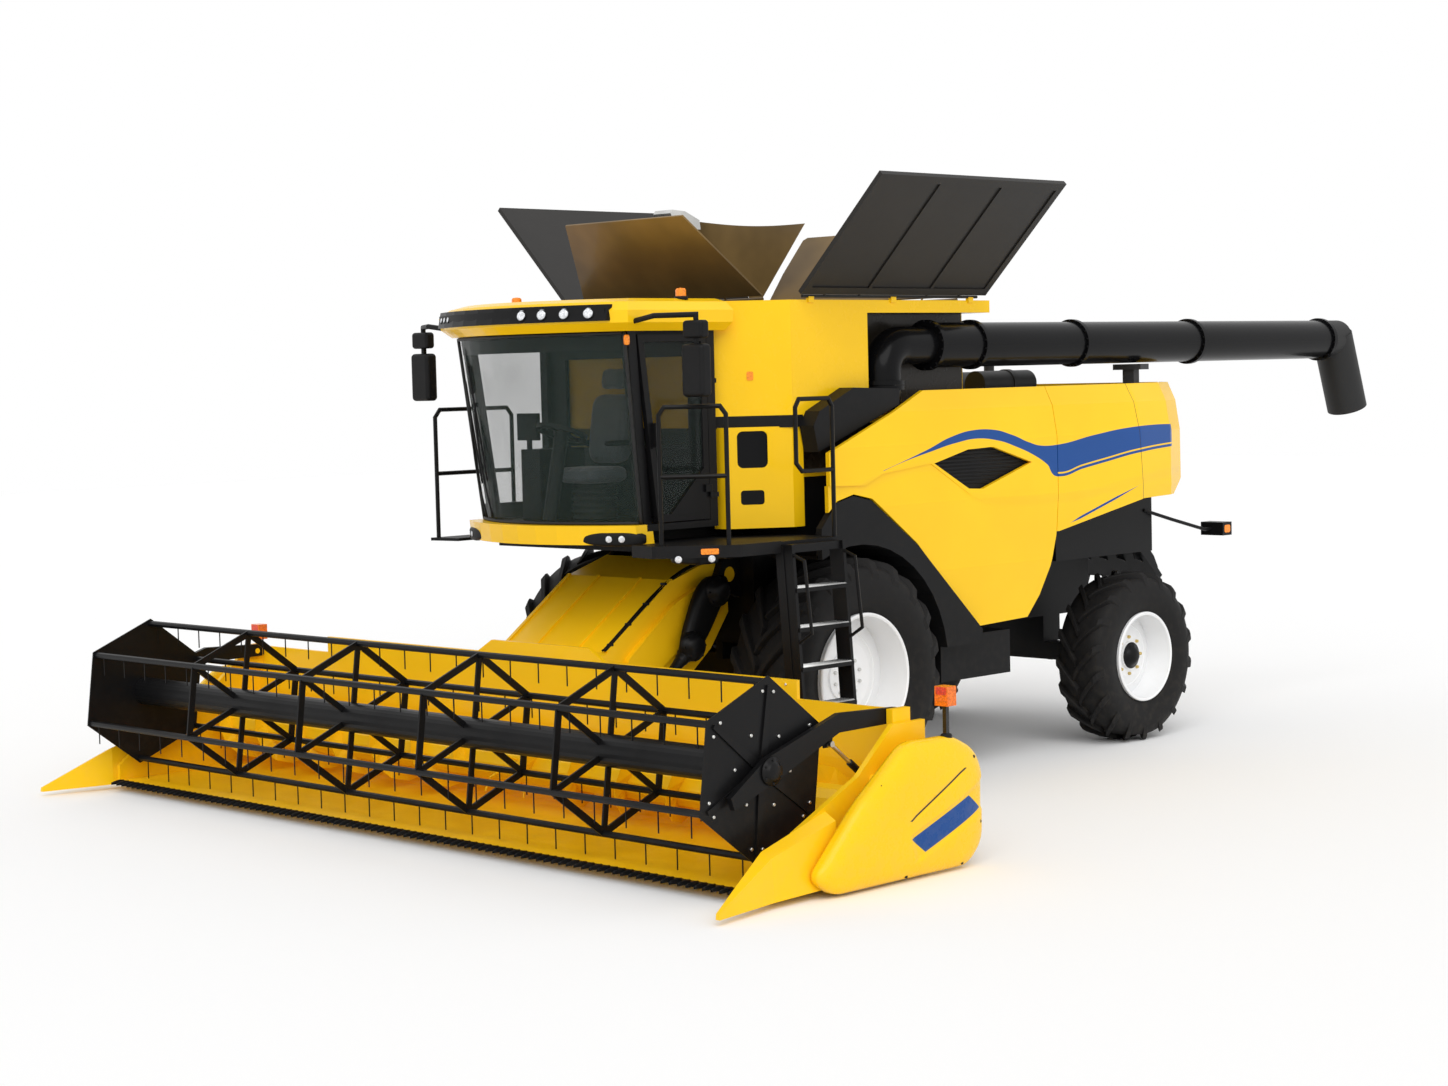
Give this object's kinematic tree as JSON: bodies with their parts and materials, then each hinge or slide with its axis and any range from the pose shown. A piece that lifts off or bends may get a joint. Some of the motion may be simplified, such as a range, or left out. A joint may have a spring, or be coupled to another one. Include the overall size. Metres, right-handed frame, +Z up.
{
  "type": "combine harvester",
  "caption": "Combine harvester with a wide tined-reel grain header, hollow cab and grain tank, folding tank covers, swinging unloading tube, rear steering and opening side panels.",
  "frame": {"origin": "on the ground under the middle of the whole machine's outline", "axes": "+X forward along the machine, +Y to its left, +Z up"},
  "size_m": [11.6284, 8, 4.773],
  "materials": {
    "yellow_paint": "glossy yellow enamel",
    "black_paint": "satin black enamel",
    "black_plastic": "fine-grained black plastic",
    "tank_sheet": "dark grey satin sheet",
    "engine_paint": "plain grey enamel",
    "tyre": "matt rubber with tall lugs",
    "white_paint": "glossy white enamel",
    "glass": "tinted safety glass",
    "seat_fabric": "woven seat cloth",
    "amber_lamp": "clear amber lens",
    "bright_steel": "bare bright steel",
    "rubber": "smooth black rubber"
  },
  "bodies": {
    "chassis": {"main_frame": "black_paint", "threshing_body": "black_paint", "front_axle": "black_paint", "rear_axle": "black_paint", "engine_block": "engine_paint", "engine_deck": "black_paint", "tail_hood": "yellow_paint", "dark_side_skins": "black_plastic", "front_wall_panels": "yellow_paint", "grain_tank": "yellow_paint", "unloader_base": "black_paint", "cab_shell": "black_paint", "cab_glass": "glass", "cab_sill": "yellow_paint", "cab_roof": "yellow_paint", "cab_seat": "seat_fabric", "cab_controls": "black_plastic", "work_lamps": "black_plastic", "beacons": "amber_lamp", "mirrors": "black_plastic", "platform": "black_paint", "handrails": "black_paint", "ladder": "black_paint", "side_boxes": "black_paint", "straw_chopper": "black_paint"},
    "front_wheel_left": {"front_tyre_left": "tyre", "front_rim_left": "white_paint"},
    "front_wheel_right": {"front_tyre_right": "tyre", "front_rim_right": "white_paint"},
    "knuckle_left": {"knuckle_left": "black_paint"},
    "knuckle_right": {"knuckle_right": "black_paint"},
    "tie_rod": {"tie_rod": "black_paint"},
    "rear_wheel_left": {"rear_tyre_left": "tyre", "rear_rim_left": "white_paint"},
    "rear_wheel_right": {"rear_tyre_right": "tyre", "rear_rim_right": "white_paint"},
    "header": {"feeder_house": "yellow_paint", "header_frame": "yellow_paint", "cutterbar": "black_paint", "dividers": "yellow_paint", "end_shields": "yellow_paint", "marker_lamps": "amber_lamp"},
    "table_auger": {"table_auger": "yellow_paint"},
    "reel_arms": {"reel_arms": "black_paint"},
    "reel": {"reel": "black_paint"},
    "lift_barrels": {"lift_barrels": "black_paint"},
    "lift_rods": {"lift_rods": "bright_steel"},
    "reel_lift_barrels": {"reel_lift_barrels": "black_paint"},
    "reel_lift_rods": {"reel_lift_rods": "bright_steel"},
    "unloader": {"unloader_tube": "black_paint", "unloader_spout": "rubber"},
    "tank_cover_left": {"tank_cover_left": "tank_sheet"},
    "tank_cover_right": {"tank_cover_right": "tank_sheet"},
    "tank_flap_front": {"tank_flap_front": "tank_sheet"},
    "tank_flap_rear": {"tank_flap_rear": "tank_sheet"},
    "filling_auger": {"filling_auger": "bright_steel"},
    "cab_door": {"door_frame": "black_paint", "door_glass": "glass"},
    "side_panel_left": {"side_panel_left": "yellow_paint"},
    "side_panel_right": {"side_panel_right": "yellow_paint"}
  },
  "joints": [
    {"name": "front_wheel_left_spin", "type": "hinge", "parent": "chassis", "child": "front_wheel_left", "pos_m": [1.83424, 1.258, 0.936], "axis": [0, 1, 0], "continuous": true},
    {"name": "front_wheel_right_spin", "type": "hinge", "parent": "chassis", "child": "front_wheel_right", "pos_m": [1.83424, -1.258, 0.936], "axis": [0, 1, 0], "continuous": true},
    {"name": "steer_left", "type": "hinge", "parent": "chassis", "child": "knuckle_left", "pos_m": [-1.91376, 0.905, 0.745], "axis": [0, 0, 1], "range_deg": [-38, 38]},
    {"name": "steer_right", "type": "hinge", "parent": "chassis", "child": "knuckle_right", "pos_m": [-1.91376, -0.905, 0.745], "axis": [0, 0, 1], "range_deg": [-39, 39]},
    {"name": "tie_rod_slide", "type": "slide", "parent": "chassis", "child": "tie_rod", "axis": [0, 1, 0], "range_m": [-0.2, 0.2]},
    {"name": "rear_wheel_left_spin", "type": "hinge", "parent": "knuckle_left", "child": "rear_wheel_left", "pos_m": [-1.91376, 1.267, 0.745], "axis": [0, 1, 0], "continuous": true},
    {"name": "rear_wheel_right_spin", "type": "hinge", "parent": "knuckle_right", "child": "rear_wheel_right", "pos_m": [-1.91376, -1.267, 0.745], "axis": [0, 1, 0], "continuous": true},
    {"name": "feeder_lift", "type": "hinge", "parent": "chassis", "child": "header", "pos_m": [2.39424, 0, 1.75], "axis": [0, -1, 0], "range_deg": [0, 20]},
    {"name": "lift_barrel_tilt", "type": "hinge", "parent": "chassis", "child": "lift_barrels", "pos_m": [2.08424, 0, 0.64], "axis": [0, -1, 0], "range_deg": [-1, 17.36]},
    {"name": "lift_rod_slide", "type": "slide", "parent": "lift_barrels", "child": "lift_rods", "axis": [0.9936, 0, -0.1131], "range_m": [-0.005, 0.3935]},
    {"name": "table_auger_spin", "type": "hinge", "parent": "header", "child": "table_auger", "pos_m": [4.09424, 0, 0.43], "axis": [0, 1, 0], "continuous": true},
    {"name": "reel_lift", "type": "hinge", "parent": "header", "child": "reel_arms", "pos_m": [3.88424, 0, 1.035], "axis": [0, -1, 0], "range_deg": [0, 18]},
    {"name": "reel_spin", "type": "hinge", "parent": "reel_arms", "child": "reel", "pos_m": [5.03424, 0, 0.815], "axis": [0, 1, 0], "continuous": true},
    {"name": "reel_barrel_tilt", "type": "hinge", "parent": "header", "child": "reel_lift_barrels", "pos_m": [3.92424, 0, 0.48], "axis": [0, -1, 0], "range_deg": [-1, 11.78]},
    {"name": "reel_rod_slide", "type": "slide", "parent": "reel_lift_barrels", "child": "reel_lift_rods", "axis": [0.7809, 0, 0.6247], "range_m": [-0.005, 0.14482]},
    {"name": "unloader_swing", "type": "hinge", "parent": "chassis", "child": "unloader", "pos_m": [1.21424, 1.25, 3.19], "axis": [0, 0, -1], "range_deg": [0, 100]},
    {"name": "cover_left", "type": "hinge", "parent": "chassis", "child": "tank_cover_left", "pos_m": [1.83424, 1.3, 3.887], "axis": [1, 0, 0], "range_deg": [0, 135]},
    {"name": "cover_right", "type": "hinge", "parent": "chassis", "child": "tank_cover_right", "pos_m": [1.83424, -1.3, 3.887], "axis": [-1, 0, 0], "range_deg": [-1, 136]},
    {"name": "flap_front", "type": "hinge", "parent": "chassis", "child": "tank_flap_front", "pos_m": [2.28924, 0, 3.876], "axis": [0, -1, 0], "range_deg": [-1, 160]},
    {"name": "flap_rear", "type": "hinge", "parent": "chassis", "child": "tank_flap_rear", "pos_m": [-0.02576, 0, 3.876], "axis": [0, 1, 0], "range_deg": [-1, 160]},
    {"name": "filling_auger_fold", "type": "hinge", "parent": "chassis", "child": "filling_auger", "pos_m": [1.22424, -1, 3.1], "axis": [-1, 0, 0], "range_deg": [-1, 76]},
    {"name": "cab_door_swing", "type": "hinge", "parent": "chassis", "child": "cab_door", "pos_m": [2.87924, 0.982, 2.21], "axis": [0, 0, 1], "range_deg": [0, 80]},
    {"name": "side_panel_left_lift", "type": "hinge", "parent": "chassis", "child": "side_panel_left", "pos_m": [1.83424, 1.39, 3.085], "axis": [1, 0, 0], "range_deg": [0, 75]},
    {"name": "side_panel_right_lift", "type": "hinge", "parent": "chassis", "child": "side_panel_right", "pos_m": [1.83424, -1.39, 3.085], "axis": [-1, 0, 0], "range_deg": [0, 75]}
  ],
  "couplings": [
    {"joint": "steer_right", "follows": "steer_left", "ratio": 1},
    {"joint": "tie_rod_slide", "follows": "steer_left", "m_per_rad": -0.25},
    {"joint": "lift_barrel_tilt", "follows": "feeder_lift", "ratio": 0.76823},
    {"joint": "lift_rod_slide", "follows": "feeder_lift", "m_per_rad": 1.0986},
    {"joint": "reel_barrel_tilt", "follows": "reel_lift", "ratio": 0.54356},
    {"joint": "reel_rod_slide", "follows": "reel_lift", "m_per_rad": 0.42913},
    {"joint": "cover_right", "follows": "cover_left", "ratio": 1},
    {"joint": "flap_front", "follows": "cover_left", "ratio": 1.1778},
    {"joint": "flap_rear", "follows": "cover_left", "ratio": 1.1778},
    {"joint": "filling_auger_fold", "follows": "cover_left", "ratio": 0.55556}
  ]
}
